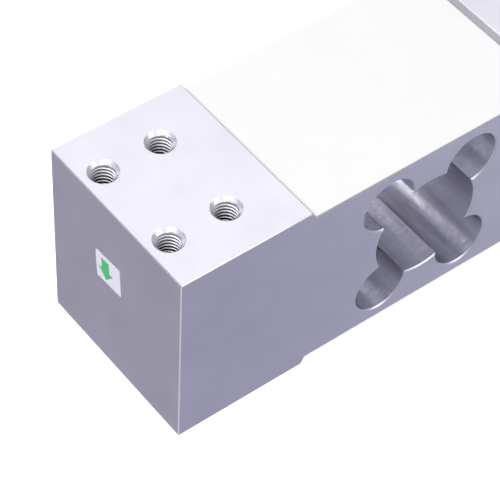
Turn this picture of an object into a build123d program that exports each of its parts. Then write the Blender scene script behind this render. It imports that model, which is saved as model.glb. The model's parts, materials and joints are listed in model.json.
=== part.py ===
from build123d import *
import math
import os

# A single-point load cell, in millimetres. The origin is the centre of the fixed end's bolt pattern,
# on the underside. +X runs from the live end to the fixed end, and +Z is up.

# Spring element: a milled block with a raised pad at each end and a recess between them, top and bottom
length = 174.0
width = 60.0
height = 65.0
recess_length = 84.0
recess_depth = 2.5
step_run = 1.2
edge_break = 0.3

# Cut-out: a central bore and four lobe bores, all right through the width. The thin section is what
# a lobe leaves under the recess.
cutout_radius = 18.0
lobe_radius = 9.0
lobe_offset_x = 15.0
thin_section = 3.8
cutout_break = 0.4

# Tapped holes: four in the live end's top, four in the fixed end's underside
hole_end_distance = 7.0
hole_spacing_x = 19.0
hole_spacing_y = 30.0
tap_drill = 6.8
tap_depth = 22.0
drill_point_angle = 118.0
countersink_diameter = 9.2

# Gauge pockets in the recess floors, and the passages for the wires
bond_margin_x = 4.0
bond_margin_y = 12.0
pocket_depth = 1.2
pocket_corner = 4.0
passage_wall = 1.0
upper_passage = 6.0
lower_passage = 4.0

# Covers and potting
cover_thickness = 0.3
cover_end_gap = 0.05
potting_gap = 0.05

# Strain gauges: a film with a folded foil grid, whose two tabs face the middle of the beam
backing_length = 11.0
backing_width = 7.0
backing_thickness = 0.12
foil_thickness = 0.08
strand_length = 5.5
strand_width = 0.25
strand_pitch = 0.5
strand_pairs = 4
turn_length = 0.4
tab_gap = 0.6
tab_length = 1.6
tab_width = 1.8

# Solder terminal strips beside the gauges
strip_gap = 1.4
strip_length = 3.6
strip_thickness = 0.2

# Solder joints
joint_length = 0.9
joint_width = 1.1
joint_height = 0.45
joint_bevel = 0.15

# Bare jumpers from gauge to strip, and insulated wires from strip to board
jumper_diameter = 0.2
wire_diameter = 0.6
wire_gap = 0.06
wire_pitch = 1.6
wire_bend = 1.2
passage_bend = 0.7
lane_gap = 0.8
turn_offset = 2.0

# Bridge board, its solder lands and its resistors
board_thickness = 1.0
board_width = 30.0
board_pad_thickness = 0.3
board_gap = 0.4
board_corner = 1.5
lobe_wall = 1.0
notch_gap = 0.4
land_size = 1.4
land_thickness = 0.05
land_margin = 0.6
output_land_offset = 9.6
resistor_length = 2.0
resistor_width = 1.25
resistor_height = 0.5
resistor_inset = 4.2
zero_resistor_offset = 9.0
span_resistor_offset = 13.0
nickel_resistor_inset = 2.6

# Cable bore and gland at the fixed end
cable_bore = 5.6
gland_thread = 12.0
gland_thread_gap = 0.05
gland_stem = 8.0
gland_hole_spare = 1.0
gland_bore = 6.6
face_seal_thickness = 1.0
face_seal_width = 1.3
gland_flats = 15.0
gland_hex = 4.0
gland_neck = 8.0
bush_diameter = 9.0
bush_bore = 5.2
bush_length = 5.0
bush_gap = 0.05
insert_bore = 5.8
insert_lip = 1.0
insert_nose = 2.0
insert_taper = 0.45
insert_slot = 0.8
insert_slots = 6
nut_gap = 0.3
nut_hex = 7.0
nut_dome = 4.5
nut_dome_radius = 6.9
nut_dome_round = 3.0
nut_seat_gap = 0.15
nut_exit = 6.8
hex_bevel_angle = 30.0

# Arrow label on the live end face
label_width = 11.3
label_height = 10.2
label_thickness = 0.15
label_corner = 0.4
label_offset_y = 3.1
label_below_top = 26.0
label_tilt = 3.6
arrow_thickness = 0.05
arrow_offset_y = 1.2
arrow_length = 7.6
arrow_head = 3.6
arrow_span = 6.8
arrow_shaft = 3.5

# Places along the beam that follow from the sizes above
fixed_face = hole_end_distance + hole_spacing_x / 2
live_face = fixed_face - length
live_bolts = live_face + fixed_face
centre_x = fixed_face - length / 2
recess_live = centre_x - recess_length / 2
recess_fixed = centre_x + recess_length / 2
pocket_live = recess_live + bond_margin_x
pocket_fixed = recess_fixed - bond_margin_x
passage_x = pocket_fixed - passage_wall - upper_passage / 2
board_pocket_live = centre_x + lobe_offset_x + lobe_radius + lobe_wall
board_live = board_pocket_live + board_gap
board_fixed = pocket_fixed - board_gap

# Heights that follow
centre_z = height / 2
recess_floor = height - recess_depth
lobe_offset_z = recess_floor - thin_section - lobe_radius - centre_z
pocket_floor = recess_floor - pocket_depth
board_pocket_floor = pocket_floor - board_pad_thickness - board_thickness
gauge_top = pocket_floor + backing_thickness + foil_thickness
strip_top = pocket_floor + strip_thickness
jumper_z = max(gauge_top, strip_top) + wire_gap + jumper_diameter / 2
wire_z = strip_top + wire_gap + wire_diameter / 2

# Places of the gauges' tabs, the strips and the wires' lanes, and widths that follow
pocket_width = width - 2 * bond_margin_y
strand_count = 2 * strand_pairs
grid_length = strand_length + 2 * turn_length + tab_gap + tab_length
strands_start = turn_length - grid_length / 2
tab_x = grid_length / 2 - tab_length / 2
tab_y = (strand_count - 1) * strand_pitch / 2
strip_x = backing_length / 2 + strip_gap + strip_length / 2
lanes = [backing_width / 2 + lane_gap + wire_diameter / 2 + n * wire_pitch for n in range(2)]
land_x = board_live + land_margin + land_size / 2
notch_radius = upper_passage / 2 + notch_gap
landing_y = notch_radius + land_margin + land_size / 2

# Distances past the fixed end face, along the gland
hex_start = face_seal_thickness
hex_end = hex_start + gland_hex
neck_end = hex_end + gland_neck
insert_start = neck_end - insert_lip
insert_end = neck_end + insert_nose
bush_start = insert_start - bush_length
nut_start = hex_end + nut_gap
nut_hex_end = nut_start + nut_hex
nut_end = nut_hex_end + nut_dome


def box_between(x0, x1, y0, y1, z0, z1):
    """A box given by its six faces."""
    return Pos((x0 + x1) / 2, (y0 + y1) / 2, (z0 + z1) / 2) * Box(x1 - x0, y1 - y0, z1 - z0)


def underside(shape):
    """A copy of what lies on the top, mirrored in the mid-height plane."""
    return mirror(shape, about=Plane.XY.offset(centre_z))


def upright(points):
    """A face in the XZ plane from (x, z) points."""
    return make_face(Polyline([(x, 0, z) for x, z in points], close=True))


def side_outline():
    """The block from the side: a pad at each end, sloped steps, a recess at the top and at the bottom."""
    pad_live = recess_live - step_run
    pad_fixed = recess_fixed + step_run
    bottom = [(live_face, 0), (pad_live, 0), (recess_live, recess_depth)]
    bottom += [(recess_fixed, recess_depth), (pad_fixed, 0), (fixed_face, 0)]
    return upright(bottom + [(x, height - z) for x, z in reversed(bottom)])


def block():
    """The block with its outer edges broken."""
    solid = extrude(side_outline(), width / 2, dir=(0, 1, 0), both=True)
    on_side = solid.edges().filter_by(lambda edge: math.isclose(abs(edge.center().Y), width / 2))
    across = solid.edges().filter_by(Axis.Y)
    on_pads = across.filter_by(lambda edge: math.isclose(abs(edge.center().Z - centre_z), height / 2))
    return chamfer(on_side + on_pads, edge_break)


def cut_out():
    """The through hole that leaves four thin sections: a central bore and four lobes."""
    outline = Circle(cutout_radius)
    for side_x in (-1, 1):
        for side_z in (-1, 1):
            outline += Pos(side_x * lobe_offset_x, side_z * lobe_offset_z) * Circle(lobe_radius)
    return Pos(centre_x, 0, centre_z) * extrude(Plane.XZ * outline, width, both=True)


def tapped_holes(x):
    """Cutters for one end's four tapped holes, down from the top: countersink, drill and drill point."""
    drill = tap_drill / 2
    sink = countersink_diameter / 2
    point = drill / math.tan(math.radians(drill_point_angle / 2))
    profile = [(0, 0), (sink, 0), (drill, drill - sink), (drill, -tap_depth), (0, -tap_depth - point)]
    cutter = revolve(upright(profile), Axis.Z)
    return [Pos(x, 0, height) * place * cutter for place in GridLocations(hole_spacing_x, hole_spacing_y, 2, 2)]


def gauge_pocket():
    """The shallow pocket in the top recess that holds the gauges."""
    outline = RectangleRounded(pocket_fixed - pocket_live, pocket_width, pocket_corner)
    return Pos((pocket_live + pocket_fixed) / 2, 0, pocket_floor) * extrude(outline, pocket_depth)


def board_pocket():
    """The step down inside the gauge pocket that sinks the bridge board flush with its floor."""
    outline = RectangleRounded(pocket_fixed - board_pocket_live, board_width + 2 * board_gap, board_corner)
    place = Pos((board_pocket_live + pocket_fixed) / 2, 0, board_pocket_floor)
    return place * extrude(outline, recess_floor - board_pocket_floor)


def passages():
    """The cable bore from the gland and the wire passages that meet it."""
    low = centre_z - upper_passage / 2
    upper = Pos(passage_x, 0, (low + pocket_floor) / 2) * Cylinder(upper_passage / 2, pocket_floor - low)
    bottom = height - pocket_floor
    lower = Pos(passage_x, 0, (bottom + centre_z) / 2) * Cylinder(lower_passage / 2, centre_z - bottom)
    bore_length = fixed_face - passage_x
    bore = Pos(passage_x + bore_length / 2, 0, centre_z) * Rot(0, 90, 0) * Cylinder(cable_bore / 2, bore_length)
    hole_depth = gland_stem + gland_hole_spare
    hole = Cylinder(gland_thread / 2 + gland_thread_gap, hole_depth)
    gland_hole = Pos(fixed_face - hole_depth / 2, 0, centre_z) * Rot(0, 90, 0) * hole
    return [upper, lower, bore, gland_hole]


def spring_element():
    """The one-piece aluminium body."""
    solid = block() - cut_out()
    rim = solid.edges().filter_by(GeomType.CIRCLE)
    solid = chamfer(rim, cutout_break)
    solid -= tapped_holes(live_bolts)
    solid -= [underside(cutter) for cutter in tapped_holes(0)]
    solid -= [gauge_pocket(), underside(gauge_pocket()), board_pocket()]
    return solid - passages()


def gauge_backing():
    """The film that is bonded over a thin section, about its own centre."""
    return Pos(0, 0, pocket_floor + backing_thickness / 2) * Box(backing_length, backing_width, backing_thickness)


def gauge_grid():
    """The folded foil grid with its two tabs, about the gauge's own centre."""
    rows = [(n - (strand_count - 1) / 2) * strand_pitch for n in range(strand_count)]
    strands_end = strands_start + strand_length
    foil = Sketch()
    for y in rows:
        foil += Pos(strands_start + strand_length / 2, y) * Rectangle(strand_length, strand_width)
    turn = Rectangle(turn_length, strand_pitch + strand_width)
    for n, y in enumerate(rows[:-1]):
        x = strands_end + turn_length / 2 if n % 2 else strands_start - turn_length / 2
        foil += Pos(x, y + strand_pitch / 2) * turn
    lead = turn_length + tab_gap
    for y in (-tab_y, tab_y):
        foil += Pos(strands_end + lead / 2, y) * Rectangle(lead, strand_width)
        foil += Pos(tab_x, y) * Rectangle(tab_length, tab_width)
    return Pos(0, 0, pocket_floor + backing_thickness) * extrude(foil, foil_thickness)


def terminal_strip():
    """The solder strip beside a gauge, as wide as the gauge."""
    return Pos(strip_x, 0, pocket_floor + strip_thickness / 2) * Box(strip_length, backing_width, strip_thickness)


def solder_joint(x, y, base, across=False):
    """A small block of solder with bevelled top edges."""
    solid = Pos(0, 0, joint_height / 2) * Box(joint_length, joint_width, joint_height)
    solid = chamfer(solid.edges().group_by(Axis.Z)[-1], joint_bevel)
    return Pos(x, y, base) * Rot(0, 0, 90 if across else 0) * solid


def gauge_joints():
    """The four solder joints of one gauge: two on its tabs and two on its strip."""
    tabs = [solder_joint(tab_x, y, gauge_top) for y in (-tab_y, tab_y)]
    return tabs + [solder_joint(strip_x, y, strip_top) for y in (-tab_y, tab_y)]


def jumpers():
    """The two bare wires between a gauge's tabs and its strip."""
    start = tab_x + joint_length / 2
    end = strip_x - joint_length / 2
    wire = Rot(0, 90, 0) * Cylinder(jumper_diameter / 2, end - start)
    return [Pos((start + end) / 2, y, jumper_z) * wire for y in (-tab_y, tab_y)]


def gauge_places():
    """Where the two gauges of one side stand: each over a pair of lobes, its tabs facing the middle."""
    live = Pos(centre_x - lobe_offset_x, 0, 0)
    fixed = Pos(centre_x + lobe_offset_x, 0, 0) * Rot(0, 0, 180)
    return {"live": live, "fixed": fixed}


def strip_route(end, side):
    """The run of a bridge wire from a strip to its lane, as (x, y) points."""
    inward = 1 if end == "live" else -1
    start = centre_x - inward * (lobe_offset_x - strip_x - joint_length / 2)
    turn = centre_x - inward * turn_offset
    lane = side * lanes[1 if end == "live" else 0]
    return [(start, side * tab_y), (turn, side * tab_y), (turn, lane)]


def top_route(end, side):
    """A top bridge wire from its strip to its land on the board."""
    points = strip_route(end, side)
    return points + [(land_x - joint_length / 2, points[-1][1])]


def passage_offset(end):
    """How far along the beam a wire lies from the middle of the passage."""
    return wire_pitch / 2 if end == "live" else -wire_pitch / 2


def bottom_route(end, side):
    """An underside bridge wire from its strip to the passage."""
    points = strip_route(end, side)
    x = passage_x + passage_offset(end)
    return points + [(x, points[-1][1]), (x, side * wire_pitch / 2)]


def swept_wire(points, radii):
    """A round insulated wire along straight runs joined by arcs."""
    path = FilletPolyline(*points, radius=radii)
    return sweep(Plane(origin=path @ 0, z_dir=path % 0) * Circle(wire_diameter / 2), path=path)


def top_wire(end, side):
    """A wire that stays on the top pocket's floor and ends at the board."""
    points = [(x, y, wire_z) for x, y in top_route(end, side)]
    return swept_wire(points, [wire_bend] * (len(points) - 2))


def bottom_wire(end, side):
    """A wire that lies on the lower pocket's roof, climbs the passage and ends at the board."""
    points = [(x, y, height - wire_z) for x, y in bottom_route(end, side)]
    x, y, low = points[-1]
    points += [(x, y, wire_z), (x, side * (landing_y - joint_length / 2), wire_z)]
    return swept_wire(points, [wire_bend] * (len(points) - 4) + [passage_bend] * 2)


def wire_ends():
    """One (end, side) pair for each of the four bridge wires of one face."""
    return [(end, side) for end in ("live", "fixed") for side in (-1, 1)]


def board_layer(low, thickness):
    """A layer of the board's outline, with a notch round the wire passage that opens to the fixed end."""
    outline = Pos((board_live + board_fixed) / 2, 0) * RectangleRounded(
        board_fixed - board_live, board_width, board_corner
    )
    mouth = board_fixed - passage_x
    notch = Pos(passage_x, 0) * Circle(notch_radius)
    notch += Pos(passage_x + mouth / 2, 0) * Rectangle(mouth, 2 * notch_radius)
    return Pos(0, 0, low) * extrude(outline - notch, thickness)


def board_pad():
    """The adhesive layer that holds the board in its pocket."""
    return board_layer(board_pocket_floor, board_pad_thickness)


def bridge_board():
    """The circuit board that completes and trims the bridge."""
    return board_layer(board_pocket_floor + board_pad_thickness, board_thickness)


def wire_lands():
    """Centres of the board's lands: four for the top wires, four beside the notch for the underside's."""
    top = [(land_x, side * lane) for side in (-1, 1) for lane in lanes]
    low = [(passage_x + passage_offset(end), side * landing_y) for end, side in wire_ends()]
    return top, low


def board_lands():
    """All copper lands of the board, with four more for the cable's cores."""
    top, low = wire_lands()
    outputs = [output_land_offset, output_land_offset + wire_pitch]
    cable = [(passage_x, side * offset) for side in (-1, 1) for offset in outputs]
    land = Pos(0, 0, pocket_floor + land_thickness / 2) * Box(land_size, land_size, land_thickness)
    return [Pos(x, y, 0) * land for x, y in top + low + cable]


def board_joints():
    """The solder joints where the eight bridge wires end on the board."""
    top, low = wire_lands()
    base = pocket_floor + land_thickness
    joints = [solder_joint(x, y, base) for x, y in top]
    return joints + [solder_joint(x, y, base, across=True) for x, y in low]


def resistor(x, y):
    """One chip resistor on the board, lying across the beam."""
    return Pos(x, y, pocket_floor + resistor_height / 2) * Box(resistor_width, resistor_length, resistor_height)


def toward(start, end, distance):
    """The point at a distance from the start of a run."""
    share = distance / math.dist(start, end)
    return tuple(a + (b - a) * share for a, b in zip(start, end))


def channel(route):
    """The space round a wire's route, corners filled, that the potting leaves free."""
    corners = [
        (toward(here, before, wire_bend), toward(here, after, wire_bend))
        for before, here, after in zip(route, route[1:], route[2:])
    ]
    half = wire_diameter / 2 + potting_gap
    spaces = []
    for (x0, y0), (x1, y1) in list(zip(route, route[1:])) + corners:
        sides = (min(x0, x1) - half, max(x0, x1) + half, min(y0, y1) - half, max(y0, y1) + half)
        spaces.append(box_between(*sides, pocket_floor, wire_z + half))
    return spaces


def gauge_space():
    """The space of one gauge with its strip, joints and jumpers, about the gauge's centre."""
    film = gauge_backing()
    foil = Pos(0, 0, pocket_floor + backing_thickness + foil_thickness / 2)
    foil *= Box(grid_length, 2 * tab_y + tab_width, foil_thickness)
    half = jumper_diameter / 2 + potting_gap
    wires = [box_between(tab_x, strip_x, y - half, y + half, pocket_floor, jumper_z + half) for y in (-tab_y, tab_y)]
    return [film, foil, terminal_strip()] + gauge_joints() + wires


def potting(routes, extra):
    """The silicone that fills a gauge pocket level with the recess floor."""
    solid = gauge_pocket()
    for place in gauge_places().values():
        solid -= [place * piece for piece in gauge_space()]
    for route in routes:
        solid -= channel(route)
    return solid - extra if extra else solid


def potting_top():
    """The upper fill, which also covers the board and what stands on it."""
    routes = [top_route(end, side) for end, side in wire_ends()]
    for end, side in wire_ends():
        x = passage_x + passage_offset(end)
        routes.append([(x, side * wire_pitch / 2), (x, side * (landing_y - joint_length / 2))])
    return potting(routes, board_lands() + board_joints() + resistors())


def potting_bottom():
    """The lower fill."""
    return underside(potting([bottom_route(end, side) for end, side in wire_ends()], []))


def zero_resistors():
    """The two resistors that balance the bridge."""
    return [resistor(board_live + resistor_inset, side * zero_resistor_offset) for side in (-1, 1)]


def span_resistors():
    """The two resistors that set the rated output."""
    return [resistor(board_live + resistor_inset, side * span_resistor_offset) for side in (-1, 1)]


def nickel_resistor():
    """The resistor that follows the element's temperature."""
    return resistor(board_live + nickel_resistor_inset, 0)


def resistors():
    """Every resistor of the board."""
    return zero_resistors() + span_resistors() + [nickel_resistor()]


def cover():
    """The white sheet bonded over the top recess, short of the broken edges."""
    half = width / 2 - edge_break
    ends = (recess_live + cover_end_gap, recess_fixed - cover_end_gap)
    return box_between(*ends, -half, half, recess_floor, recess_floor + cover_thickness)


def turned(points):
    """A solid turned about the gland's axis, from (distance past the end face, radius) points."""
    return Pos(fixed_face, 0, centre_z) * revolve(upright(points), Axis.X)


def hexagon(flats, start, end):
    """A hexagonal prism with bevelled corners between two distances past the end face."""
    prism = Pos(fixed_face + start, 0, centre_z) * Rot(0, 90, 0) * extrude(
        RegularPolygon(flats / 2, 6, major_radius=False), end - start
    )
    corner = flats / math.sqrt(3)
    bevel = (corner - flats / 2) * math.tan(math.radians(hex_bevel_angle))
    rounds = [(start, flats / 2), (start + bevel, corner), (end - bevel, corner), (end, flats / 2)]
    return prism & turned([(start, 0)] + rounds + [(end, 0)])


def gland_body():
    """The gland's body: stem in the block, hexagon, and a hollow neck for the bush."""
    stem = gland_thread / 2
    solid = turned([(-gland_stem, 0), (-gland_stem, stem), (neck_end, stem), (neck_end, 0)])
    solid += hexagon(gland_flats, hex_start, hex_end)
    bore = gland_bore / 2
    seat = bush_diameter / 2 + bush_gap
    hollow = [(-gland_stem, 0), (-gland_stem, bore), (bush_start, bore), (bush_start, seat)]
    return solid - turned(hollow + [(neck_end, seat), (neck_end, 0)])


def face_seal():
    """The flat ring between the gland's hexagon and the end face."""
    inner = gland_thread / 2 + gland_thread_gap
    outer = inner + face_seal_width
    return turned([(0, inner), (0, outer), (face_seal_thickness, outer), (face_seal_thickness, inner)])


def sealing_bush():
    """The rubber bush that grips the cable."""
    inner = bush_bore / 2
    outer = bush_diameter / 2
    return turned([(bush_start, inner), (bush_start, outer), (insert_start, outer), (insert_start, inner)])


def insert_radius(distance):
    """The insert's outer radius along its cone."""
    return bush_diameter / 2 - insert_taper * (distance - neck_end)


def clamping_insert():
    """The slotted cone that the nut closes on the cable."""
    inner = insert_bore / 2
    lip = bush_diameter / 2
    cone = [(neck_end, lip), (insert_end, insert_radius(insert_end))]
    solid = turned([(insert_start, inner), (insert_start, lip)] + cone + [(insert_end, inner)])
    slot = box_between(neck_end, insert_end, -insert_slot / 2, insert_slot / 2, 0, bush_diameter)
    for n in range(insert_slots):
        solid -= Pos(fixed_face, 0, centre_z) * Rot(360 / insert_slots * n, 0, 0) * slot
    return solid


def dome_nut():
    """The nut: a hexagon, a rounded dome, a threaded bore and a cone that bears on the insert."""
    dome = turned([(nut_start, 0), (nut_start, nut_dome_radius), (nut_end, nut_dome_radius), (nut_end, 0)])
    dome = fillet(dome.edges().sort_by(Axis.X)[-1], nut_dome_round)
    thread = gland_thread / 2 + gland_thread_gap
    cone_start = neck_end + nut_seat_gap
    cone_end = insert_end + nut_seat_gap
    cone = [(x, insert_radius(x) + nut_seat_gap) for x in (cone_start, cone_end)]
    exit_radius = nut_exit / 2
    hollow = [(nut_start, 0), (nut_start, thread), (cone_start, thread)] + cone
    hollow += [(cone_end, exit_radius), (nut_end, exit_radius), (nut_end, 0)]
    return dome + hexagon(gland_flats, nut_start, nut_hex_end) - turned(hollow)


def on_end_face(shape):
    """Places what is drawn round the origin on the live end face, at the label's place and tilt."""
    return Pos(live_face, label_offset_y, height - label_below_top) * Rot(-label_tilt, 0, 0) * shape


def arrow_label():
    """The small white sticker."""
    sheet = Pos(-label_thickness / 2, 0, 0) * Box(label_thickness, label_width, label_height)
    return on_end_face(fillet(sheet.edges().filter_by(Axis.X), label_corner))


def arrow_print():
    """The arrow printed on the label, which points down along the load."""
    top = arrow_length / 2
    neck = arrow_head - arrow_length / 2
    half = arrow_shaft / 2
    wing = arrow_span / 2
    right = [(half, top), (half, neck), (wing, neck)]
    outline = right + [(0, -top)] + [(-y, z) for y, z in reversed(right)]
    face = make_face(Polyline([(-label_thickness, y + arrow_offset_y, z) for y, z in outline], close=True))
    return on_end_face(extrude(face, arrow_thickness, dir=(-1, 0, 0)))


def parts():
    """Every piece by name. A list is a group of separate solids in one node."""
    found = {"spring_element": spring_element(), "cover_top": cover(), "cover_bottom": underside(cover())}
    single = {"gauge_backing": gauge_backing(), "gauge_grid": gauge_grid(), "terminal_strip": terminal_strip()}
    for end, place in gauge_places().items():
        for name, shape in single.items():
            found[f"{name}_top_{end}"] = place * shape
            found[f"{name}_bottom_{end}"] = underside(place * shape)
    places = gauge_places().values()
    joints = [place * joint for place in places for joint in gauge_joints()]
    bare = [place * wire for place in places for wire in jumpers()]
    found["gauge_joints_top"] = joints
    found["gauge_joints_bottom"] = [underside(joint) for joint in joints]
    found["jumper_wires_top"] = bare
    found["jumper_wires_bottom"] = [underside(wire) for wire in bare]
    found["bridge_wires_top"] = [top_wire(end, side) for end, side in wire_ends()]
    found["bridge_wires_bottom"] = [bottom_wire(end, side) for end, side in wire_ends()]
    found["bridge_board"] = bridge_board()
    found["board_pad"] = board_pad()
    found["board_lands"] = board_lands()
    found["board_joints"] = board_joints()
    found["zero_resistors"] = zero_resistors()
    found["span_resistors"] = span_resistors()
    found["nickel_resistor"] = nickel_resistor()
    found["potting_top"] = potting_top()
    found["potting_bottom"] = potting_bottom()
    found["gland_body"] = gland_body()
    found["face_seal"] = face_seal()
    found["sealing_bush"] = sealing_bush()
    found["clamping_insert"] = clamping_insert()
    found["dome_nut"] = dome_nut()
    found["arrow_label"] = arrow_label()
    found["arrow_print"] = arrow_print()
    return found


def write_parts():
    """One STEP file for each piece."""
    os.makedirs("parts", exist_ok=True)
    for name, shape in parts().items():
        whole = Compound(children=shape) if isinstance(shape, list) else shape
        export_step(whole, f"parts/{name}.step")


write_parts()
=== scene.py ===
"""Finishes, tapped threads and a small studio for a single-point weighing load cell."""

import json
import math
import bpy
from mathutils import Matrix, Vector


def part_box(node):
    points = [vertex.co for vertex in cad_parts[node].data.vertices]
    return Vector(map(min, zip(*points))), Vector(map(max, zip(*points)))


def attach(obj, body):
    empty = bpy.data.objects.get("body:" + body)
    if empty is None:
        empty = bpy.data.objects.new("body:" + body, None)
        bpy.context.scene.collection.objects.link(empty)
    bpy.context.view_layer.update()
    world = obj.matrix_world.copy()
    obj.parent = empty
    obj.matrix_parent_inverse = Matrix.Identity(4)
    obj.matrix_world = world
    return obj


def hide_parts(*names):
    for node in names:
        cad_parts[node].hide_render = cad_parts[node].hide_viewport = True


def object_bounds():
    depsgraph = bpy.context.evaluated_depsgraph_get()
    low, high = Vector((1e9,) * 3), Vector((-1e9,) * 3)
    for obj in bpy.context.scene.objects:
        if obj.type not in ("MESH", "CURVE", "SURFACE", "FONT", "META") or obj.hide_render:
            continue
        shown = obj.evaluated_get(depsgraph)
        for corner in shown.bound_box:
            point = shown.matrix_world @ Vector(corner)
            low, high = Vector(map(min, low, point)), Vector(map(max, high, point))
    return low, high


bl_info = {
    "name": "Weighing Load Cell",
    "version": (1, 0, 0),
    "blender": (4, 5, 0),
    "location": "3D View > Sidebar > Load Cell",
    "description": "Finishes, tapped threads and a small studio for a single-point weighing load cell",
    "category": "Object",
}

import bmesh
import bpy
from bpy.props import FloatProperty, FloatVectorProperty, IntProperty, PointerProperty
from mathutils import Matrix, Quaternion, Vector

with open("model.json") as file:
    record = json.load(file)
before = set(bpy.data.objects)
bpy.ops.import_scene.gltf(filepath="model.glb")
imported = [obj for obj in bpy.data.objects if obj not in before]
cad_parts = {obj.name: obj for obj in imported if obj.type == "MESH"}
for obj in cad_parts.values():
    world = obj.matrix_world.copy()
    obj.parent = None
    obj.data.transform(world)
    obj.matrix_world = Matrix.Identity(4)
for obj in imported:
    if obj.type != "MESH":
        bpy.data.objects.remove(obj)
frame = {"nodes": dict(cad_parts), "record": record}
cad_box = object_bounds()
mounts = {mount["name"]: mount for mount in frame["record"]["mounts"]}

MM = 0.001
WELD = 0.001 * MM


# Properties


def length(name, description, default):
    """A length property, in metres."""
    return FloatProperty(name=name, description=description, default=default, unit="LENGTH", precision=6)


def share(name, description, default):
    """A property from 0 to 1."""
    return FloatProperty(
        name=name, description=description, default=default, min=0, max=1, subtype="FACTOR"
    )


def level(name, description, default):
    """A light level, where 1 is white."""
    return FloatProperty(name=name, description=description, default=default, min=0)


def angle(name, description, degrees):
    """An angle property."""
    return FloatProperty(name=name, description=description, default=math.radians(degrees), subtype="ANGLE")


def colour(name, description, default):
    """A linear colour property."""
    return FloatVectorProperty(
        name=name, description=description, default=default, size=3, min=0, max=1, subtype="COLOR"
    )


class ThreadSizes(bpy.types.PropertyGroup):
    """Sizes of the tapped holes. The drill's radius and the holes' places come from the frame."""

    pitch: length("Pitch", "Distance between two turns of the thread", 1.25 * MM)
    major_radius: length("Major Radius", "Radius at the bottom of the thread's grooves", 4.0 * MM)
    sink_radius: length("Countersink Radius", "Radius of the countersink in the pad's plane", 4.6 * MM)
    thread_depth: length("Thread Depth", "How deep the full thread goes", 18.0 * MM)
    drill_depth: length("Drill Depth", "Depth of the drilled hole to its shoulder", 22.0 * MM)
    lip: length("Lip", "Depth at which the thread's mesh meets the pad's mesh", 0.05 * MM)
    columns: IntProperty(name="Columns", description="Facets round each hole", default=64, min=12, max=128)
    start_angle: angle("Start Angle", "Where the thread starts, round the hole from the beam's line", -108)
    point_angle: angle("Point Angle", "Full angle of the drill's point", 118)


class MetalFinish(bpy.types.PropertyGroup):
    """Finishes of the spring element and the other metal pieces."""

    block: colour("Milled Faces", "Clear-anodised aluminium of the outer faces", (0.64, 0.635, 0.695))
    block_roughness: share("Milled Roughness", "Roughness of the outer faces", 0.38)
    bore: colour("Bored Walls", "Aluminium of the cut-out's walls", (0.672, 0.666, 0.738))
    bore_roughness: share("Bored Roughness", "Roughness of the cut-out's walls", 0.18)
    # Painted light and shade in the threads: flanks painted bright as lit, crests and roots painted dark as
    # shaded
    flank: colour("Flanks", "Flanks of the threads next to the countersinks", (0.90, 0.90, 0.93))
    # Painted shade: the colours of the flanks and crests deep in the holes are darker
    shaded_deep_flank: colour("Deep Flanks", "Flanks of the threads deep in the holes", (0.50, 0.50, 0.54))
    flank_roughness: share("Flank Roughness", "Roughness of the threads' flanks", 0.45)
    crest: colour("Crests", "Crests and roots next to the countersinks", (0.48, 0.48, 0.52))
    shaded_deep_crest: colour("Deep Crests", "Crests and roots deep in the holes", (0.015, 0.015, 0.02))
    sink: colour("Countersinks", "Matt aluminium of the countersinks", (0.69, 0.69, 0.755))
    sink_roughness: share("Countersink Roughness", "Roughness of the countersinks", 0.35)
    # Painted shade: the recesses' long edge breaks are painted darker than the milled faces
    painted_edge_shade: colour("Shaded Edges", "Dull aluminium of the recesses' long edges", (0.34, 0.34, 0.37))
    plating: colour("Plating", "Nickel plating of the gland", (0.62, 0.60, 0.55))
    copper: colour("Copper", "Bare copper wires and lands", (0.80, 0.42, 0.26))
    solder: colour("Solder", "Bright solder", (0.66, 0.66, 0.64))
    nickel: colour("Nickel Foil", "The temperature resistor's foil", (0.58, 0.56, 0.52))
    foil: colour("Gauge Foil", "Resistance alloy of the gauge grids", (0.62, 0.50, 0.38))


class PlasticFinish(bpy.types.PropertyGroup):
    """Colours of the covers, the label, the wires and the pieces inside."""

    cover: colour("Covers", "White sheet over the recesses", (0.73, 0.73, 0.73))
    label: colour("Label", "White film of the arrow label", (0.75, 0.725, 0.82))
    arrow: colour("Arrow", "Green ink of the arrow", (0.055, 0.50, 0.14))
    silicone: colour("Potting", "Soft white silicone", (0.80, 0.80, 0.80))
    wire: colour("Wire Sleeves", "Insulation of the bridge wires", (0.52, 0.03, 0.02))
    board: colour("Board", "Solder resist of the bridge board", (0.015, 0.11, 0.045))
    adhesive: colour("Adhesive", "Layer under the board", (0.68, 0.64, 0.50))
    resistor: colour("Resistors", "Bodies of the chip resistors", (0.012, 0.012, 0.014))
    film: colour("Gauge Film", "Polyimide film of the gauges", (0.55, 0.20, 0.02))
    strip: colour("Terminal Strips", "Film of the solder strips", (0.50, 0.20, 0.05))
    rubber: colour("Rubber", "The gland's bush and seal", (0.012, 0.012, 0.012))
    nylon: colour("Nylon", "The gland's clamping insert", (0.02, 0.02, 0.022))


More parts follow.
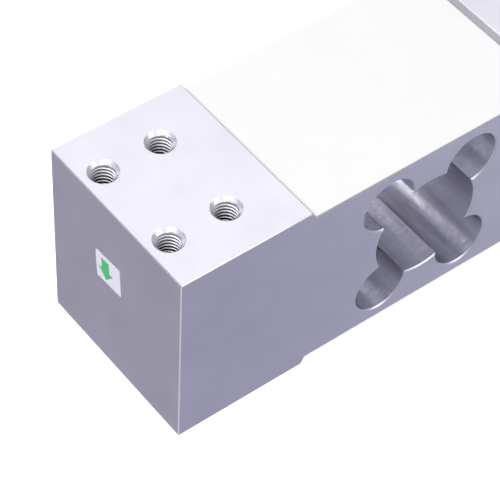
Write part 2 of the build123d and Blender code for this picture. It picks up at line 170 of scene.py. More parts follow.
class StudioSettings(bpy.types.PropertyGroup):
    """The lights' levels, and the floor as the camera and metal see it."""

    sky: level("Sky", "Even light from all round", 0.50)
    sky_in_metal: level("Sky in Metal", "The sky as metal and glass show it", 0.42)
    overhead: level("Overhead", "Soft box behind and over the block", 1.4)
    left: level("Left", "Strip light over the live end", 3.7)
    front: level("Front", "Soft box over the camera", 1.7)
    right: level("Right", "Soft box beside the fixed end", 2.0)
    floor: colour("Floor", "Colour of the floor", (0.80, 0.80, 0.82))
    floor_glow: level("Floor Glow", "Added where the camera sees the floor", 0.55)
    floor_in_metal: level("Floor in Metal", "The floor as metal and glass show it", 1.35)
    end_in_metal: colour("Floor in the End", "What metal shows beyond the live end", (0.352, 0.343, 0.403))
    side_in_metal: colour("Floor in the Side", "What metal shows beside the block", (0.356, 0.352, 0.454))
    far_in_metal: colour("Floor Farther Out", "What metal shows beside the fixed end", (0.47, 0.475, 0.575))
    corner_in_metal: colour("Floor in the Corner", "What metal shows off the corner", (0.66, 0.65, 0.74))
    back_in_metal: colour("Floor in the Bores", "What metal shows below and behind", (0.96, 0.96, 1.0))


# Node trees


class Graph:
    """Adds nodes to a tree. An input is a number, a colour or another node's output."""

    def __init__(self, tree):
        self.tree = tree
        tree.nodes.clear()

    def add(self, kind, inputs=None, **settings):
        """A new node. Inputs are named or numbered."""
        node = self.tree.nodes.new(kind)
        for name, value in settings.items():
            setattr(node, name, value)
        for name, value in (inputs or {}).items():
            self.feed(node, name, value)
        return node

    def feed(self, node, name, value):
        """Links or sets one input."""
        socket = node.inputs[name]
        if isinstance(value, bpy.types.NodeSocket):
            self.tree.links.new(value, socket)
        else:
            socket.default_value = value

    def math(self, operation, a, b=0.0, c=0.0):
        """A Math node's output."""
        return self.add("ShaderNodeMath", {0: a, 1: b, 2: c}, operation=operation).outputs[0]

    def choose(self, index, values):
        """The value with the given number, in a geometry tree."""
        node = self.add("GeometryNodeIndexSwitch", data_type="FLOAT")
        while len(node.index_switch_items) < len(values):
            node.index_switch_items.new()
        self.feed(node, "Index", index)
        for number, value in enumerate(values):
            node.inputs[number + 1].default_value = value
        return node.outputs[0]

    def combine(self, x, y, z):
        """A vector from three numbers."""
        return self.add("ShaderNodeCombineXYZ", {0: x, 1: y, 2: z}).outputs[0]

    def split(self, vector):
        """The three numbers of a vector."""
        return self.add("ShaderNodeSeparateXYZ", {0: vector}).outputs

    def ramp(self, value, start, end, low=0.0, high=1.0):
        """A value's range from start to end, mapped to low and high."""
        return self.add("ShaderNodeMapRange", {0: value, 1: start, 2: end, 3: low, 4: high}).outputs[0]

    def mixed(self, factor, *pair):
        """One colour where the factor is 0, the other where it is 1."""
        mix = self.add("ShaderNodeMix", {"Factor": factor}, data_type="RGBA")
        ends = [socket for socket in mix.inputs if socket.type == "RGBA"]
        for socket, value in zip(ends, pair):
            if isinstance(value, bpy.types.NodeSocket):
                self.tree.links.new(value, socket)
            else:
                socket.default_value = (*value, 1)
        return [socket for socket in mix.outputs if socket.type == "RGBA"][0]


class Finish(Graph):
    """A material with one shader, whose fixed numbers stand on the shader's own sockets."""

    def __init__(self, name, base, roughness, metallic=0.0, **fixed):
        self.material = bpy.data.materials.new(name)
        self.material.use_nodes = True
        super().__init__(self.material.node_tree)
        self.base = tuple(base)
        self.roughness = roughness
        inputs = {"Base Color": (*base, 1), "Roughness": roughness, "Metallic": metallic, **fixed}
        self.shader = self.add("ShaderNodeBsdfPrincipled", inputs)
        self.add("ShaderNodeOutputMaterial", {"Surface": self.shader.outputs[0]})
        self.place = self.add("ShaderNodeTexCoord").outputs["Object"]

    def noise(self, size, stretch=(1, 1, 1), detail=2.0):
        """Noise with features of a size in metres, stretched along an axis by a factor."""
        scale = [1 / (size * factor) for factor in stretch]
        mapped = self.add("ShaderNodeMapping", {"Vector": self.place, "Scale": scale}).outputs[0]
        inputs = {"Vector": mapped, "Scale": 1.0, "Detail": detail}
        return self.add("ShaderNodeTexNoise", inputs).outputs[0]

    def spread(self, pattern, low, high):
        """A pattern's middle range mapped to two numbers."""
        return self.ramp(pattern, 0.3, 0.7, low, high)

    def tint(self, pattern, change):
        """Varies the colour by a share each way."""
        low = [max(0.0, value * (1 - change)) for value in self.base]
        high = [min(1.0, value * (1 + change)) for value in self.base]
        self.feed(self.shader, "Base Color", self.mixed(self.spread(pattern, 0, 1), low, high))
        return self

    def gloss(self, pattern, change):
        """Varies the roughness by a share each way."""
        low, high = self.roughness * (1 - change), self.roughness * (1 + change)
        self.feed(self.shader, "Roughness", self.spread(pattern, low, high))
        return self

    def relief(self, *layers):
        """Bumps from (pattern, height in metres) pairs."""
        normal = None
        for pattern, height in layers:
            inputs = {"Height": pattern, "Distance": height, "Strength": 1.0}
            if normal is not None:
                inputs["Normal"] = normal
            normal = self.add("ShaderNodeBump", inputs).outputs[0]
        self.feed(self.shader, "Normal", normal)
        return self


# Finishes


def milled_aluminium(metal):
    """Clear-anodised milled faces: a fine satin grain, faint cutter lines and soft clouds."""
    finish = Finish("milled_aluminium", metal.block, metal.block_roughness, 1.0)
    cloud = finish.noise(14 * MM, detail=3)
    grain = finish.noise(0.22 * MM, detail=1)
    lines = finish.noise(0.25 * MM, stretch=(60, 1, 1))
    finish.tint(cloud, 0.03).gloss(grain, 0.12)
    return finish.relief((grain, 0.0035 * MM), (lines, 0.002 * MM)).material


def bored_aluminium(metal):
    """Walls of the cut-out: fine rings and long streaks from the tool, and painted light that makes them
    lighter towards both mouths.
    """
    finish = Finish("bored_aluminium", metal.bore, metal.bore_roughness, 0.95)
    rings = finish.noise(0.1 * MM, stretch=(40, 1, 40), detail=1)
    patches = finish.noise(4 * MM, stretch=(1, 12, 1), detail=3)
    streaks = finish.noise(1.6 * MM, stretch=(1, 12, 1), detail=3)
    # Painted light: the colour grows lighter from the middle towards both mouths, added to the tool's
    # streaks
    from_middle = finish.math("ABSOLUTE", finish.split(finish.place)[1])
    painted_mouth_light = finish.ramp(from_middle, 4 * MM, 30 * MM, 0.24, 0.47)
    finish.tint(finish.math("MULTIPLY_ADD", streaks, 0.35, painted_mouth_light), 0.3).gloss(patches, 0.06)
    return finish.relief((rings, 0.045 * MM), (patches, 0.004 * MM)).material


def painted_depth_shade(finish, deep, mouth):
    """Paints shade into a finish of the threads, from one colour 8 mm down in the holes, where the painted
    shade is darkest, to another 1 mm down.
    """
    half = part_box("spring_element")[1].z / 2
    from_middle = finish.math("ABSOLUTE", finish.math("SUBTRACT", finish.split(finish.place)[2], half))
    nearness = finish.ramp(from_middle, half - 8 * MM, half - 1 * MM)
    finish.feed(finish.shader, "Base Color", finish.mixed(nearness, deep, mouth))


def lit_thread_flanks(metal):
    """Flanks of the threads, painted bright as painted light, duller deep down as painted shade, with rings
    left by the tap.
    """
    finish = Finish("lit_thread_flanks", metal.flank, metal.flank_roughness, 0.8)
    rings = finish.noise(0.12 * MM, stretch=(12, 12, 1))
    painted_depth_shade(finish, metal.shaded_deep_flank, metal.flank)
    return finish.gloss(rings, 0.2).relief((rings, 0.004 * MM)).material


def shaded_thread_crests(metal):
    """Crests and roots, painted dark as painted shade, darkest deep down and paler towards the mouths."""
    finish = Finish("shaded_thread_crests", metal.shaded_deep_crest, 0.5, 0.3, **{"Specular IOR Level": 0.2})
    smears = finish.noise(0.4 * MM, stretch=(3, 3, 1))
    painted_depth_shade(finish, metal.shaded_deep_crest, metal.crest)
    return finish.gloss(smears, 0.3).relief((smears, 0.004 * MM)).material


def deburred_aluminium(metal):
    """Countersinks, matt and ribbed from the deburring tool."""
    finish = Finish("deburred_aluminium", metal.sink, metal.sink_roughness, 0.9)
    grain = finish.noise(0.1 * MM)
    ribs = finish.noise(0.35 * MM, stretch=(1, 1, 25), detail=1)
    return finish.gloss(grain, 0.1).relief((grain, 0.004 * MM), (ribs, 0.045 * MM)).material


def edge_shaded_aluminium(metal):
    """The recesses' long edges beside the covers, painted dull and dark as painted shade so they catch no
    light, with a scuffed texture.
    """
    finish = Finish("edge_shaded_aluminium", metal.painted_edge_shade, 0.55, 1.0)
    scuffs = finish.noise(0.6 * MM, stretch=(4, 1, 1), detail=3)
    return finish.tint(scuffs, 0.15).gloss(scuffs, 0.1).relief((scuffs, 0.004 * MM)).material


def plated_brass(metal):
    """Nickel plating over turned brass, with faint rings about the gland's axis."""
    finish = Finish("nickel_plating", metal.plating, 0.22, 1.0)
    rings = finish.noise(0.15 * MM, stretch=(1, 25, 25))
    cloud = finish.noise(3 * MM, detail=3)
    return finish.tint(cloud, 0.04).gloss(cloud, 0.25).relief((rings, 0.003 * MM)).material


def drawn_metal(name, base, roughness):
    """Wire, foil and solder: fine lines along the beam and small clouds."""
    finish = Finish(name, base, roughness, 1.0)
    lines = finish.noise(0.08 * MM, stretch=(20, 1, 1))
    cloud = finish.noise(0.8 * MM, detail=3)
    return finish.tint(cloud, 0.08).gloss(cloud, 0.3).relief((lines, 0.003 * MM)).material


def white_sheet(plastic):
    """The covers: smooth matt sheet with a faint orange peel."""
    finish = Finish("white_sheet", plastic.cover, 0.55, **{"Specular IOR Level": 0.4})
    peel = finish.noise(0.5 * MM)
    cloud = finish.noise(18 * MM)
    return finish.tint(cloud, 0.01).gloss(peel, 0.06).relief((peel, 0.002 * MM)).material


def label_film(plastic):
    """The label: semi-matt film with fibres."""
    finish = Finish("label_film", plastic.label, 0.42)
    fibres = finish.noise(0.12 * MM, stretch=(1, 5, 1), detail=3)
    return finish.tint(fibres, 0.012).gloss(fibres, 0.12).relief((fibres, 0.003 * MM)).material


def printed_ink(plastic):
    """The arrow: even ink with a slight mottle."""
    finish = Finish("printed_ink", plastic.arrow, 0.38)
    mottle = finish.noise(0.25 * MM, detail=3)
    return finish.tint(mottle, 0.06).gloss(mottle, 0.15).relief((mottle, 0.003 * MM)).material


def moulded(name, base, roughness, grain, change=0.05, **fixed):
    """Rubber, nylon, silicone and sleeves: a grain of one size over soft clouds."""
    finish = Finish(name, base, roughness, **fixed)
    fine = finish.noise(grain, detail=3)
    cloud = finish.noise(grain * 12, detail=2)
    return finish.tint(cloud, change).gloss(fine, 0.15).relief((fine, grain * 0.06)).material


def bridge_board_resist(plastic):
    """Solder resist over glass cloth, whose weave shows faintly."""
    finish = Finish("solder_resist", plastic.board, 0.3)
    waves = []
    for axis in ("X", "Y"):
        inputs = {"Vector": finish.place, "Scale": 1 / (0.5 * MM) / math.pi}
        waves.append(finish.add("ShaderNodeTexWave", inputs, bands_direction=axis).outputs[1])
    weave = finish.math("MULTIPLY", *waves)
    return finish.tint(weave, 0.15).relief((weave, 0.008 * MM)).material


def chip_ceramic(plastic):
    """Black glazed chips."""
    return moulded("chip_ceramic", plastic.resistor, 0.25, 0.05 * MM, 0.2)


def dress(material, slot_name, *nodes):
    """Gives CAD nodes their material. The slot name is not used."""
    for name in nodes:
        node = frame["nodes"][name]
        node.data.materials.clear()
        node.data.materials.append(material)


def numbered(*stems):
    """The four gauge nodes of each stem: top and bottom, live and fixed end."""
    places = ("top_live", "top_fixed", "bottom_live", "bottom_fixed")
    return [f"{stem}_{place}" for stem in stems for place in places]


# Spring element

BLOCK_FINISHES = (
    milled_aluminium,
    bored_aluminium,
    lit_thread_flanks,
    shaded_thread_crests,
    deburred_aluminium,
    edge_shaded_aluminium,
)
MILLED, BORED, LIT_FLANK, SHADED_CREST, SINK, EDGE_SHADE = range(len(BLOCK_FINISHES))


def thread_inputs(sizes, mount):
    """The thread tree's named inputs: sizes, and the pattern's place in the frame."""
    radius = mount["dims"]["hole_r_mm"] * MM
    return {
        "Pitch": sizes.pitch,
        "Major Radius": sizes.major_radius,
        "Minor Radius": radius,
        "Sink Radius": sizes.sink_radius,
        "Thread Depth": sizes.thread_depth,
        "Drill Depth": sizes.drill_depth,
        "Point Depth": radius / math.tan(sizes.point_angle / 2),
        "Lip": sizes.lip,
        "Start Angle": sizes.start_angle,
        "Spacing X": mount["dims"]["spacing_x_mm"] * MM,
        "Spacing Y": mount["dims"]["spacing_y_mm"] * MM,
        "Columns": sizes.columns,
    }


def socket_type(value):
    """The group socket that carries a value."""
    return "NodeSocketInt" if isinstance(value, int) else "NodeSocketFloat"


def thread_tree(values):
    """Builds the pattern of tapped holes, mouths in the plane Z = 0.

    Each hole is one helical wall of five rows to a turn: the root's two edges, the middle of the flank
    that faces the mouth, and the crest's two edges. The rows are cut off level at the mouth and at the
    drill's shoulder, where a cone closes the hole.
    """
    tree = bpy.data.node_groups.new("tapped_holes", "GeometryNodeTree")
    graph = Graph(tree)
    for name, value in values.items():
        tree.interface.new_socket(name, in_out="INPUT", socket_type=socket_type(value))
    for name in ("Lit Material", "Shaded Material"):
        tree.interface.new_socket(name, in_out="INPUT", socket_type="NodeSocketMaterial")
    tree.interface.new_socket("Geometry", in_out="OUTPUT", socket_type="NodeSocketGeometry")
    given = graph.add("NodeGroupInput").outputs
    math_node = graph.math

    turns = math_node("CEIL", math_node("DIVIDE", given["Drill Depth"], given["Pitch"]))
    rows = math_node("MULTIPLY_ADD", turns, 5.0, 10.0)
    seam_columns = math_node("ADD", given["Columns"], 1.0)
    sheet = graph.add("GeometryNodeMeshGrid", {0: 1.0, 1: 1.0, 2: seam_columns, 3: rows}).outputs[0]
    place = graph.split(graph.add("GeometryNodeInputPosition").outputs[0])
    around = math_node("ADD", place[0], 0.5)
    last_row = math_node("SUBTRACT", rows, 1.0)
    row = math_node("ROUND", math_node("MULTIPLY", math_node("ADD", place[1], 0.5), last_row))
    edge = math_node("MODULO", row, 5.0)
    turn = math_node("FLOOR", math_node("DIVIDE", math_node("ADD", row, 0.5), 5.0))

    # A turn has a root of 2/16 of the pitch, a flank of 3/16 and 2/16, a crest of 4/16 and a flank of 5/16
    phase = graph.choose(edge, (0.0, 2 / 16, 5 / 16, 7 / 16, 11 / 16))
    travel = math_node("SUBTRACT", math_node("ADD", math_node("ADD", turn, phase), around), 1.0)
    depth = math_node("MULTIPLY", travel, given["Pitch"])
    depth = math_node("MINIMUM", math_node("MAXIMUM", depth, given["Lip"]), given["Drill Depth"])

    # The grooves start under the countersink and run out over two turns
    sink_depth = math_node("SUBTRACT", given["Sink Radius"], given["Minor Radius"])
    below_sink = math_node("SUBTRACT", depth, sink_depth)
    run_in = math_node("DIVIDE", below_sink, math_node("MULTIPLY", given["Pitch"], 0.3))
    left_over = math_node("SUBTRACT", given["Thread Depth"], depth)
    run_out = math_node("DIVIDE", left_over, math_node("MULTIPLY", given["Pitch"], 2.0))
    fade = math_node("MINIMUM", math_node("MINIMUM", run_in, run_out), 1.0)
    profile = graph.choose(edge, (1.0, 1.0, 0.4, 0.0, 0.0))
    groove = math_node("MULTIPLY", profile, math_node("MAXIMUM", fade, 0.0))
    tooth = math_node("SUBTRACT", given["Major Radius"], given["Minor Radius"])
    radius = math_node("MULTIPLY_ADD", groove, tooth, given["Minor Radius"])
    radius = math_node("MAXIMUM", radius, math_node("SUBTRACT", given["Sink Radius"], depth))

    bearing = math_node("MULTIPLY", around, -math.tau)
    spot = graph.combine(
        math_node("MULTIPLY", radius, math_node("COSINE", bearing)),
        math_node("MULTIPLY", radius, math_node("SINE", bearing)),
        math_node("MULTIPLY", depth, -1.0),
    )
    # The inner part of each flank that faces the mouth gets the bright material as painted light, and the
    # rest the dark material as painted shade
    strip = math_node("FLOOR", math_node("MULTIPLY", math_node("ADD", place[1], 0.5), last_row))
    flank = math_node("COMPARE", math_node("MODULO", strip, 5.0), 2.0, 0.1)
    kept = graph.add("GeometryNodeCaptureAttribute", domain="FACE")
    kept.capture_items.new("FLOAT", "Flank")
    graph.feed(kept, "Geometry", sheet)
    graph.feed(kept, "Flank", flank)
    inputs = {"Geometry": kept.outputs["Geometry"], "Position": spot}
    wall = graph.add("GeometryNodeSetPosition", inputs).outputs[0]

    cone = graph.add("GeometryNodeMeshCone", fill_type="NONE")
    for name, value in {
        "Vertices": given["Columns"],
        "Radius Top": 0.0,
        "Radius Bottom": given["Minor Radius"],
        "Depth": given["Point Depth"],
    }.items():
        graph.feed(cone, name, value)
    drop = graph.combine(0.0, 0.0, math_node("MULTIPLY", given["Drill Depth"], -1.0))
    point = graph.add("GeometryNodeTransform", {"Geometry": cone.outputs[0], "Translation": drop})
    point.inputs["Rotation"].default_value = (math.pi, 0, 0)

    hole = graph.add("GeometryNodeJoinGeometry")
    tree.links.new(wall, hole.inputs[0])
    tree.links.new(point.outputs[0], hole.inputs[0])
    inputs = {"Geometry": hole.outputs[0], "Distance": WELD}
    hole = graph.add("GeometryNodeMergeByDistance", inputs).outputs[0]
    inputs = {0: given["Spacing X"], 1: given["Spacing Y"], 2: 2, 3: 2}
    pattern = graph.add("GeometryNodeMeshGrid", inputs).outputs[0]
    turned = graph.combine(0.0, 0.0, given["Start Angle"])
    inputs = {"Points": pattern, "Instance": hole, "Rotation": turned}
    placed = graph.add("GeometryNodeInstanceOnPoints", inputs).outputs[0]
    holes = graph.add("GeometryNodeRealizeInstances", {0: placed}).outputs[0]
    # Painted shade on all of the holes but the flanks' inner parts, which get painted light
    inputs = {"Geometry": holes, "Material": given["Shaded Material"]}
    holes = graph.add("GeometryNodeSetMaterial", inputs).outputs[0]
    inputs = {"Geometry": holes, "Selection": kept.outputs["Flank"], "Material": given["Lit Material"]}
    holes = graph.add("GeometryNodeSetMaterial", inputs).outputs[0]
    graph.add("NodeGroupOutput", {0: holes})
    return tree


def tapped_pattern(sizes, mount, bright, dark):
    """The mesh of one bolt pattern's holes, mouths in the plane Z = 0, its materials bright and dark as
    painted light and painted shade.
    """
    values = thread_inputs(sizes, mount)
    tree = thread_tree(values)
    holder = bpy.data.objects.new("tapped_pattern", bpy.data.meshes.new("tapped_pattern"))
    bpy.context.scene.collection.objects.link(holder)
    modifier = holder.modifiers.new("Tapped holes", "NODES")
    modifier.node_group = tree
    values.update({"Lit Material": bright, "Shaded Material": dark})
    for item in tree.interface.items_tree:
        if item.in_out == "INPUT":
            modifier[item.identifier] = values[item.name]
    holder.update_tag()
    evaluated = holder.evaluated_get(bpy.context.evaluated_depsgraph_get())
    mesh = bpy.data.meshes.new_from_object(evaluated)
    bpy.data.objects.remove(holder)
    if not mesh.polygons:
        raise RuntimeError("the thread tree made no mesh")
    order = [list(mesh.materials).index(material) for material in (bright, dark)]
    for face in mesh.polygons:
        face.material_index = order.index(face.material_index)
    return mesh


def hole_centres(mount):
    """The four holes' middles along X and Y."""
    x, y, _ = mount["pos_m"]
    half_x = mount["dims"]["spacing_x_mm"] * MM / 2
    half_y = mount["dims"]["spacing_y_mm"] * MM / 2
    return [Vector((x + sx * half_x, y + sy * half_y)) for sx in (-1, 1) for sy in (-1, 1)]


def mouth_height(mount):
    """The pad's plane at a bolt pattern."""
    low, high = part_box("spring_element")
    return high.z if mount["axis"][2] > 0 else low.z


def open_holes(mesh, sizes, mount):
    """Takes the plain walls of a pattern's holes out of the block's mesh."""
    mouth = mouth_height(mount)
    reach = sizes.drill_depth + sizes.major_radius
    for centre in hole_centres(mount):
        inside = {
            vertex
            for vertex in mesh.verts
            if (vertex.co.xy - centre).length < sizes.sink_radius + WELD
            and abs(vertex.co.z - mouth) < reach
        }
        walls = [face for face in mesh.faces if inside.issuperset(face.verts)]
        if not walls:
            raise RuntimeError("a tapped hole has no wall to replace")
        bmesh.ops.delete(mesh, geom=walls, context="FACES")


def close_mouths(mesh, sizes, mount):
    """Joins each thread's first ring to the pad round it."""
    mouth = mouth_height(mount)
    for centre in hole_centres(mount):
        rims = [
            edge
            for edge in mesh.edges
            if edge.is_boundary
            and abs(edge.verts[0].co.z - mouth) < 2 * sizes.lip
            and (edge.verts[0].co.xy - centre).length < 2 * sizes.sink_radius
        ]
        bmesh.ops.bridge_loops(mesh, edges=rims)


def cut_out_box():
    """The lowest and highest corner of the cut-out's walls, between the gauge pockets.

    They are the record's openings and a margin for the edge breaks.
    """
    margin = 4 * MM
    boxes = [entry["box_m"] for entry in frame["record"]["physics"]["openings"]]
    low = [min(box[0][axis] for box in boxes) - margin for axis in range(3)]
    high = [max(box[1][axis] for box in boxes) + margin for axis in range(3)]
    low[2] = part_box("potting_bottom")[1].z + WELD
    high[2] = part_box("potting_top")[0].z - WELD
    return low, high


def inside_box(point, box):
    """Whether a point lies in a box."""
    return all(low < value < high for value, low, high in zip(point, *box))


def on_recess_edge(face):
    """Whether a face breaks a long edge of a recess."""
    near = 0.5 * MM
    low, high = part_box("cover_top")
    place = face.calc_center_median()
    slanted = min(abs(face.normal.y), abs(face.normal.z)) > 0.5
    by_a_cover = place.z > low.z - near or place.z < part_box("cover_bottom")[1].z + near
    return slanted and by_a_cover and low.x < place.x < high.x


def sort_faces(mesh):
    """Gives the block's own faces the numbers of their materials."""
    cut_out = cut_out_box()
    for face in mesh.faces:
        if abs(face.normal.y) < 0.5 and inside_box(face.calc_center_median(), cut_out):
            face.material_index = BORED
        else:
            # The recesses' long edges get painted shade
            face.material_index = EDGE_SHADE if on_recess_edge(face) else MILLED


def cut_threads(mesh, sizes, mount, materials):
    """Puts real threads and countersinks in the place of one bolt pattern's plain holes."""
    open_holes(mesh, sizes, mount)
    pattern = tapped_pattern(sizes, mount, materials[LIT_FLANK], materials[SHADED_CREST])
    turn = 0.0 if mount["axis"][2] > 0 else math.pi
    x, y, _ = mount["pos_m"]
    rim = mouth_height(mount)
    pattern.transform(Matrix.Translation((x, y, rim)) @ Matrix.Rotation(turn, 4, "X"))
    known = set(mesh.faces)
    mesh.from_mesh(pattern)
    close_mouths(mesh, sizes, mount)
    sink_depth = sizes.sink_radius - mount["dims"]["hole_r_mm"] * MM
    for face in mesh.faces:
        if face not in known:
            depth = abs(face.calc_center_median().z - rim)
            face.material_index = SINK if depth < sink_depth else face.material_index + LIT_FLANK


def tapped_block(sizes, metal):
    """The spring element with real threads: a welded copy of the CAD mesh."""
    materials = [finish(metal) for finish in BLOCK_FINISHES]
    mesh = bmesh.new()
    mesh.from_mesh(frame["nodes"]["spring_element"].data)
    bmesh.ops.remove_doubles(mesh, verts=mesh.verts, dist=WELD)
    sort_faces(mesh)
    plain = len(mesh.faces)
    for name in ("platform_bolts", "base_bolts"):
        cut_threads(mesh, sizes, mounts[name], materials)
    if len(mesh.faces) <= plain:
        raise RuntimeError("the threads weren't added")
    open_edges = sum(not edge.is_manifold for edge in mesh.edges)
    if open_edges:
        raise RuntimeError(f"the tapped block has {open_edges} open edges")
    bmesh.ops.recalc_face_normals(mesh, faces=mesh.faces)
    data = bpy.data.meshes.new("tapped_block")
    mesh.to_mesh(data)
    mesh.free()
    if "custom_normal" in data.attributes:
        data.attributes.remove(data.attributes["custom_normal"])
    for material in materials:
        data.materials.append(material)
    data.shade_smooth()
    data.set_sharp_from_angle(angle=math.radians(28))
    block = bpy.data.objects.new("tapped_block", data)
    bpy.context.scene.collection.objects.link(block)
    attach(block, "root")
    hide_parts("spring_element")
    return block


# Studio


def white_where_seen(graph, shader, glow, in_metal, strength):
    """Adds a white glow for the camera, and shows metal and glass an even colour in the shader's place."""
    path = graph.add("ShaderNodeLightPath").outputs
    mirrored = graph.math("MAXIMUM", path["Is Glossy Ray"], path["Is Transmission Ray"])
    seen = graph.math("MULTIPLY", path["Is Camera Ray"], glow)
    light = graph.add("ShaderNodeEmission", {"Strength": seen}).outputs[0]
    lit = graph.add("ShaderNodeAddShader", {0: shader, 1: light}).outputs[0]
    even = graph.add("ShaderNodeEmission", {"Color": in_metal, "Strength": strength}).outputs[0]
    return graph.add("ShaderNodeMixShader", {0: mirrored, 1: lit, 2: even}).outputs[0]


def add_floor(studio):
    """A pale floor that keeps the object's shadow."""
    material = bpy.data.materials.new("pale_floor")
    material.use_nodes = True
    graph = Graph(material.node_tree)
    matt = graph.add("ShaderNodeBsdfDiffuse", {"Color": (*studio.floor, 1)}).outputs[0]
    place = graph.add("ShaderNodeTexCoord").outputs["Object"]
    along, across = graph.split(place)[:2]
    low, high = cad_box
    beside_block = graph.math("GREATER_THAN", along, low.x)
    in_front = graph.math("LESS_THAN", across, low.y)
    farther = graph.ramp(along, low.x + 40 * MM, high.x)
    side = graph.mixed(farther, studio.side_in_metal, studio.far_in_metal)
    side = graph.mixed(beside_block, studio.corner_in_metal, side)
    in_metal = graph.mixed(beside_block, studio.end_in_metal, studio.back_in_metal)
    in_metal = graph.mixed(in_front, in_metal, side)
    surface = white_where_seen(graph, matt, studio.floor_glow, in_metal, studio.floor_in_metal)
    graph.add("ShaderNodeOutputMaterial", {"Surface": surface})
    half = 4.0
    height = low.z - 0.1 * MM
    corners = [(x * half, y * half, height) for x, y in ((-1, -1), (1, -1), (1, 1), (-1, 1))]
    mesh = bpy.data.meshes.new("floor")
    mesh.from_pydata(corners, [], [(0, 1, 2, 3)])
    mesh.materials.append(material)
    floor = bpy.data.objects.new("floor", mesh)
    bpy.context.scene.collection.objects.link(floor)


def add_sky(studio):
    """Even light from all round, white to the camera."""
    world = bpy.data.worlds.new("sky")
    world.use_nodes = True
    graph = Graph(world.node_tree)
    path = graph.add("ShaderNodeLightPath").outputs
    mirrored = graph.math("MAXIMUM", path["Is Glossy Ray"], path["Is Transmission Ray"])
    strength = graph.math("MULTIPLY_ADD", mirrored, studio.sky_in_metal - studio.sky, studio.sky)
    strength = graph.math("MULTIPLY_ADD", path["Is Camera Ray"], 1.0 - studio.sky, strength)
    background = graph.add("ShaderNodeBackground", {"Strength": strength, "Color": (0.97, 0.97, 1.0, 1)})
    graph.add("ShaderNodeOutputWorld", {"Surface": background.outputs[0]})
    bpy.context.scene.world = world


def soft_box(name, target, direction, distance, width, height, radiance):
    """An area lamp that faces the target, as bright as a white sheet times its radiance."""
    lamp = bpy.data.lights.new(name, "AREA")
    lamp.shape = "RECTANGLE"
    lamp.size = width
    lamp.size_y = height
    lamp.energy = radiance * math.pi * width * height
    away = Vector(direction).normalized()
    holder = bpy.data.objects.new(name, lamp)
    holder.location = target + away * distance
    holder.rotation_mode = "QUATERNION"
    holder.rotation_quaternion = away.to_track_quat("Z", "Y")
    bpy.context.scene.collection.objects.link(holder)


def add_camera():
    """The photograph's view."""
    data = bpy.data.cameras.new("camera")
    data.lens = 168.45
    camera = bpy.data.objects.new("camera", data)
    camera.location = (-0.392948, -0.340087, 0.529654)
    forward = Vector((0.41889988, 0.50365675, -0.75554799))
    roll = Quaternion((0, 0, 1), math.radians(3.073))
    camera.rotation_mode = "QUATERNION"
    camera.rotation_quaternion = forward.to_track_quat("-Z", "Y") @ roll
    bpy.context.scene.collection.objects.link(camera)
    bpy.context.scene.camera = camera


# Operators


class PieceOperator:
    """What the operators share."""

    bl_options = {"REGISTER", "UNDO"}


class LOADCELL_OT_spring_element(PieceOperator, bpy.types.Operator):
    """Dress the aluminium block and cut its threads"""

    bl_idname = "load_cell.spring_element"
    bl_label = "Spring Element"

    def execute(self, context):
        tapped_block(context.scene.load_cell_threads, context.scene.load_cell_metal)
        return {"FINISHED"}


class LOADCELL_OT_covers(PieceOperator, bpy.types.Operator):
    """Dress the white covers over the recesses"""

    bl_idname = "load_cell.covers"
    bl_label = "Covers"

    def execute(self, context):
        dress(white_sheet(context.scene.load_cell_plastic), "cover_white", "cover_top", "cover_bottom")
        return {"FINISHED"}


class LOADCELL_OT_label(PieceOperator, bpy.types.Operator):
    """Dress the label and its arrow"""

    bl_idname = "load_cell.label"
    bl_label = "Arrow Label"

    def execute(self, context):
        plastic = context.scene.load_cell_plastic
        dress(label_film(plastic), "label_white", "arrow_label")
        dress(printed_ink(plastic), "print_green", "arrow_print")
        return {"FINISHED"}


class LOADCELL_OT_gauges(PieceOperator, bpy.types.Operator):
    """Dress the strain gauges, their strips and joints"""

    bl_idname = "load_cell.gauges"
    bl_label = "Strain Gauges"

    def execute(self, context):
        metal = context.scene.load_cell_metal
        plastic = context.scene.load_cell_plastic
        film = moulded("polyimide_film", plastic.film, 0.2, 0.2 * MM, 0.06)
        strip = moulded("strip_film", plastic.strip, 0.3, 0.2 * MM, 0.06)
        dress(film, "gauge_film", *numbered("gauge_backing"))
        dress(drawn_metal("grid_foil", metal.foil, 0.3), "gauge_foil", *numbered("gauge_grid"))
        dress(strip, "strip", *numbered("terminal_strip"))
        solder = drawn_metal("gauge_solder", metal.solder, 0.18)
        dress(solder, "solder", "gauge_joints_top", "gauge_joints_bottom")
        return {"FINISHED"}


class LOADCELL_OT_wiring(PieceOperator, bpy.types.Operator):
    """Dress the jumpers and the bridge wires"""

    bl_idname = "load_cell.wiring"
    bl_label = "Wiring"

    def execute(self, context):
        metal = context.scene.load_cell_metal
        plastic = context.scene.load_cell_plastic
        copper = drawn_metal("jumper_copper", metal.copper, 0.25)
        sleeve = moulded("extruded_sleeve", plastic.wire, 0.35, 0.05 * MM)
        dress(copper, "copper", "jumper_wires_top", "jumper_wires_bottom")
        dress(sleeve, "wire_sleeve", "bridge_wires_top", "bridge_wires_bottom")
        return {"FINISHED"}


class LOADCELL_OT_board(PieceOperator, bpy.types.Operator):
    """Dress the bridge board and what stands on it"""

    bl_idname = "load_cell.board"
    bl_label = "Bridge Board"

    def execute(self, context):
        metal = context.scene.load_cell_metal
        plastic = context.scene.load_cell_plastic
        dress(bridge_board_resist(plastic), "board", "bridge_board")
        dress(moulded("adhesive_layer", plastic.adhesive, 0.5, 0.3 * MM), "adhesive", "board_pad")
        dress(drawn_metal("land_copper", metal.copper, 0.3), "copper", "board_lands")
        dress(drawn_metal("board_solder", metal.solder, 0.18), "solder", "board_joints")
        dress(chip_ceramic(plastic), "resistor", "zero_resistors", "span_resistors")
        dress(drawn_metal("nickel_foil", metal.nickel, 0.3), "nickel", "nickel_resistor")
        return {"FINISHED"}


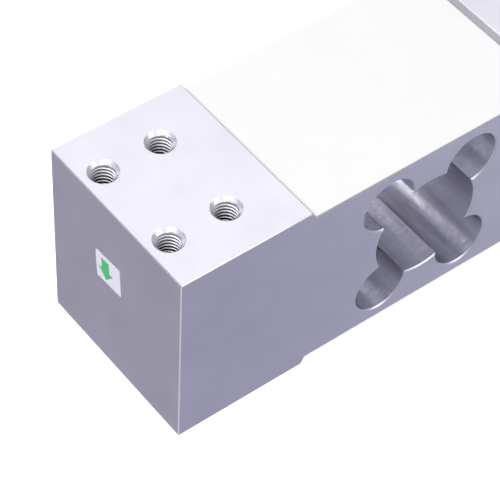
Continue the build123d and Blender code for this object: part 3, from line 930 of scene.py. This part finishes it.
class LOADCELL_OT_potting(PieceOperator, bpy.types.Operator):
    """Dress the silicone in the gauge pockets"""

    bl_idname = "load_cell.potting"
    bl_label = "Potting"

    def execute(self, context):
        plastic = context.scene.load_cell_plastic
        soft = {"Subsurface Weight": 0.1, "Subsurface Scale": 0.5 * MM}
        silicone = moulded("potting_silicone", plastic.silicone, 0.35, 0.6 * MM, 0.02, **soft)
        dress(silicone, "silicone", "potting_top", "potting_bottom")
        return {"FINISHED"}


class LOADCELL_OT_gland(PieceOperator, bpy.types.Operator):
    """Dress the cable gland"""

    bl_idname = "load_cell.gland"
    bl_label = "Cable Gland"

    def execute(self, context):
        plastic = context.scene.load_cell_plastic
        rubber = moulded("nitrile_rubber", plastic.rubber, 0.55, 0.15 * MM, 0.3)
        dress(plated_brass(context.scene.load_cell_metal), "plated_brass", "gland_body", "dome_nut")
        dress(rubber, "black_rubber", "face_seal", "sealing_bush")
        dress(moulded("nylon_insert", plastic.nylon, 0.4, 0.1 * MM, 0.2), "nylon", "clamping_insert")
        return {"FINISHED"}


class LOADCELL_OT_stage(PieceOperator, bpy.types.Operator):
    """Set up the floor, the lights and the camera"""

    bl_idname = "load_cell.stage"
    bl_label = "Studio"

    def execute(self, context):
        studio = context.scene.load_cell_studio
        context.scene.view_settings.view_transform = "Standard"
        target = (cad_box[0] + cad_box[1]) / 2
        add_floor(studio)
        add_sky(studio)
        soft_box("overhead_box", target, (0.37, 0.43, 0.82), 1.0, 0.9, 0.6, studio.overhead)
        soft_box("left_box", target + Vector((0, 0.3, 0)), (-0.62, 0, 0.78), 1.1, 1.3, 0.4, studio.left)
        soft_box("front_box", target, (-0.36, -0.42, 0.83), 1.1, 0.9, 0.9, studio.front)
        soft_box("right_box", target, (0.42, -0.76, 0.50), 1.1, 0.8, 0.6, studio.right)
        add_camera()
        return {"FINISHED"}


STEPS = (
    LOADCELL_OT_spring_element,
    LOADCELL_OT_covers,
    LOADCELL_OT_label,
    LOADCELL_OT_gauges,
    LOADCELL_OT_wiring,
    LOADCELL_OT_board,
    LOADCELL_OT_potting,
    LOADCELL_OT_gland,
    LOADCELL_OT_stage,
)


class LOADCELL_PT_panel(bpy.types.Panel):
    """The sidebar's list of pieces and settings"""

    bl_label = "Load Cell"
    bl_idname = "LOADCELL_PT_panel"
    bl_space_type = "VIEW_3D"
    bl_region_type = "UI"
    bl_category = "Load Cell"

    def draw(self, context):
        for step in STEPS:
            self.layout.operator(step.bl_idname)
        for name, group in GROUPS.items():
            settings = getattr(context.scene, name)
            for item in group.__annotations__:
                self.layout.prop(settings, item)


GROUPS = {
    "load_cell_threads": ThreadSizes,
    "load_cell_metal": MetalFinish,
    "load_cell_plastic": PlasticFinish,
    "load_cell_studio": StudioSettings,
}


def register():
    """Registers the classes and the scene's settings."""
    for group in GROUPS.values():
        bpy.utils.register_class(group)
    for name, group in GROUPS.items():
        setattr(bpy.types.Scene, name, PointerProperty(type=group))
    for step in (*STEPS, LOADCELL_PT_panel):
        bpy.utils.register_class(step)


def unregister():
    """Takes back what register did."""
    for step in (LOADCELL_PT_panel, *reversed(STEPS)):
        bpy.utils.unregister_class(step)
    for name in GROUPS:
        delattr(bpy.types.Scene, name)
    for group in GROUPS.values():
        bpy.utils.unregister_class(group)


def main():
    """Builds every piece in order."""
    register()
    for step in STEPS:
        group, name = step.bl_idname.split(".")
        getattr(getattr(bpy.ops, group), name)()


if __name__ == "__main__":
    main()
